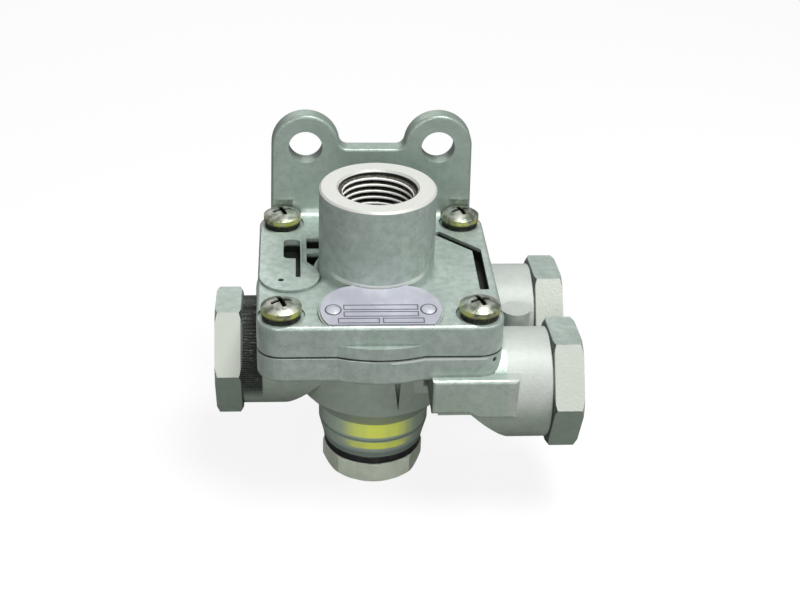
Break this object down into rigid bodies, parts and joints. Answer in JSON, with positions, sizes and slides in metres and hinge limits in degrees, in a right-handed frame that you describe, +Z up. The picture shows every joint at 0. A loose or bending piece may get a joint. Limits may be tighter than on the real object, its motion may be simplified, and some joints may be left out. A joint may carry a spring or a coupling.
{
  "type": "quick release valve",
  "caption": "Quick release valve for an air brake line: threaded inlet on top, three threaded side ports, exhaust below, and an eared bracket plate.",
  "frame": {"origin": "centre of the exhaust bore at the exhaust nut's lower face, which the valve stands on", "axes": "+Z up along the main axis towards the inlet, +X towards the two right ports, +Y towards the bracket plate"},
  "size_m": [0.0966, 0.0734, 0.0917],
  "materials": {
    "cast_body": "die-cast, grey-green, satin, lightly mottled",
    "cast_cover": "die-cast, grey-green, satin, with a machined bright inlet face",
    "screw_steel": "zinc plated, yellow-green passivated",
    "washer_steel": "dark spring steel",
    "plate_metal": "thin satin sheet, blank, with four outlined fields",
    "rivet_metal": "satin",
    "bush_metal": "turned, bright yellow-green passivated",
    "nut_metal": "machined, zinc plated",
    "seal_rubber": "black nitrile rubber",
    "diaphragm_rubber": "black nitrile rubber"
  },
  "bodies": {
    "housing": {"cover_screw_front_left": "screw_steel", "cover_screw_front_right": "screw_steel", "cover_screw_rear_left": "screw_steel", "cover_screw_rear_right": "screw_steel", "cover_seal": "seal_rubber", "exhaust_bush": "bush_metal", "exhaust_flap": "seal_rubber", "exhaust_nut": "nut_metal", "exhaust_seal": "seal_rubber", "plate_rivet_left": "rivet_metal", "plate_rivet_right": "rivet_metal", "rating_plate": "plate_metal", "spring_washer_front_left": "washer_steel", "spring_washer_front_right": "washer_steel", "spring_washer_rear_left": "washer_steel", "spring_washer_rear_right": "washer_steel", "top_cover": "cast_cover", "valve_body": "cast_body"},
    "diaphragm": {"diaphragm": "diaphragm_rubber"}
  },
  "joints": [
    {"name": "diaphragm_lift", "type": "slide", "parent": "housing", "child": "diaphragm", "axis": [0, 0, 1], "range_m": [0, 0.0015]}
  ]
}
